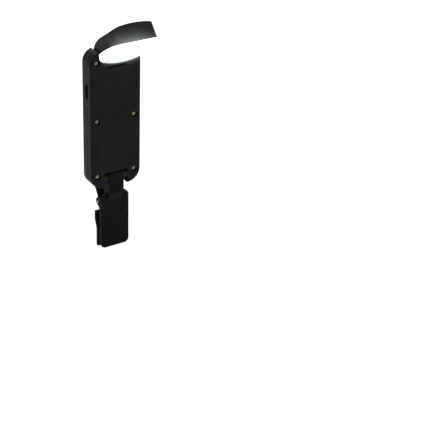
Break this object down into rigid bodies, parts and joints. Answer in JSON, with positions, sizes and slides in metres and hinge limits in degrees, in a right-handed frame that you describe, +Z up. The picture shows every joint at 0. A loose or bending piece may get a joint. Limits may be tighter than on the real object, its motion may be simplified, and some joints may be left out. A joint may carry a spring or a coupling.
{
  "type": "clip-on reading light",
  "caption": "Rechargeable book light: flat upright slab with charging port and switch bar, hinged arched lamp head with a curled lit panel, on a sprung clip",
  "frame": {"origin": "middle of the closed grip pads of the clip, centred on the width of the slab", "axes": "+Z up along the slab from the clip to the lamp; -Y out of the face with the screws, the way the lamp head leans; +X to the right as seen from that face"},
  "size_m": [0.0382, 0.0457, 0.1734],
  "materials": {
    "cover_plastic": "black moulded ABS, fine satin grain",
    "shell_plastic": "black moulded ABS, fine satin grain",
    "clip_plastic": "black moulded nylon, fine grain",
    "bar_plastic": "black, slightly polished",
    "bush_plastic": "black acetal",
    "screw_steel": "plated steel, slightly warm",
    "pin_steel": "ground steel",
    "spring_steel": "spring wire",
    "port_steel": "drawn sheet",
    "board_laminate": "green solder mask",
    "chip_plastic": "black moulded resin",
    "led_resin": "pale yellow phosphor resin",
    "clear_plastic": "clear acrylic, seen against black",
    "battery_foil": "laminated foil pouch",
    "foam_tape": "pale foam",
    "led_board_aluminium": "white solder mask on aluminium",
    "panel_acrylic": "opal acrylic, lit from behind",
    "pad_rubber": "soft grip rubber"
  },
  "bodies": {
    "clip": {"clip_frame": "clip_plastic", "jaw_pin": "pin_steel", "jaw_spring": "spring_steel", "front_pad": "pad_rubber", "neck_bushes": "bush_plastic"},
    "slab": {"front_cover": "cover_plastic", "rear_shell": "shell_plastic", "cover_screws": "screw_steel", "main_board": "board_laminate", "board_chips": "chip_plastic", "port_shell": "port_steel", "port_tongue": "chip_plastic", "charge_led": "led_resin", "light_pipe": "clear_plastic", "tact_switch": "chip_plastic", "battery": "battery_foil", "battery_tape": "foam_tape", "head_pin": "pin_steel", "neck_pin": "pin_steel"},
    "head": {"lamp_hood": "cover_plastic", "light_panel": "panel_acrylic", "led_board": "led_board_aluminium", "led_chips": "led_resin", "friction_sleeve": "pin_steel"},
    "button": {"switch_bar": "bar_plastic", "switch_plunger": "bar_plastic"},
    "jaw": {"rear_jaw": "clip_plastic", "rear_pad": "pad_rubber"}
  },
  "joints": [
    {"name": "slab_tilt", "type": "hinge", "parent": "clip", "child": "slab", "pos_m": [0, -0.003, 0.0471], "axis": [1, 0, 0], "range_deg": [-15, 90]},
    {"name": "head_tilt", "type": "hinge", "parent": "slab", "child": "head", "pos_m": [0, 0, 0.1373], "axis": [-1, 0, 0], "range_deg": [-20, 90]},
    {"name": "switch_press", "type": "slide", "parent": "slab", "child": "button", "axis": [0, 1, 0], "range_m": [0, 0.0005], "stiffness_N_per_m": 400, "springref_m": -0.001},
    {"name": "jaw_open", "type": "hinge", "parent": "clip", "child": "jaw", "pos_m": [0, 0.0035, 0.026], "axis": [1, 0, 0], "range_deg": [0, 20], "stiffness_Nm_per_rad": 0.15, "springref_deg": -34.38, "deforming": ["jaw_spring"]}
  ]
}
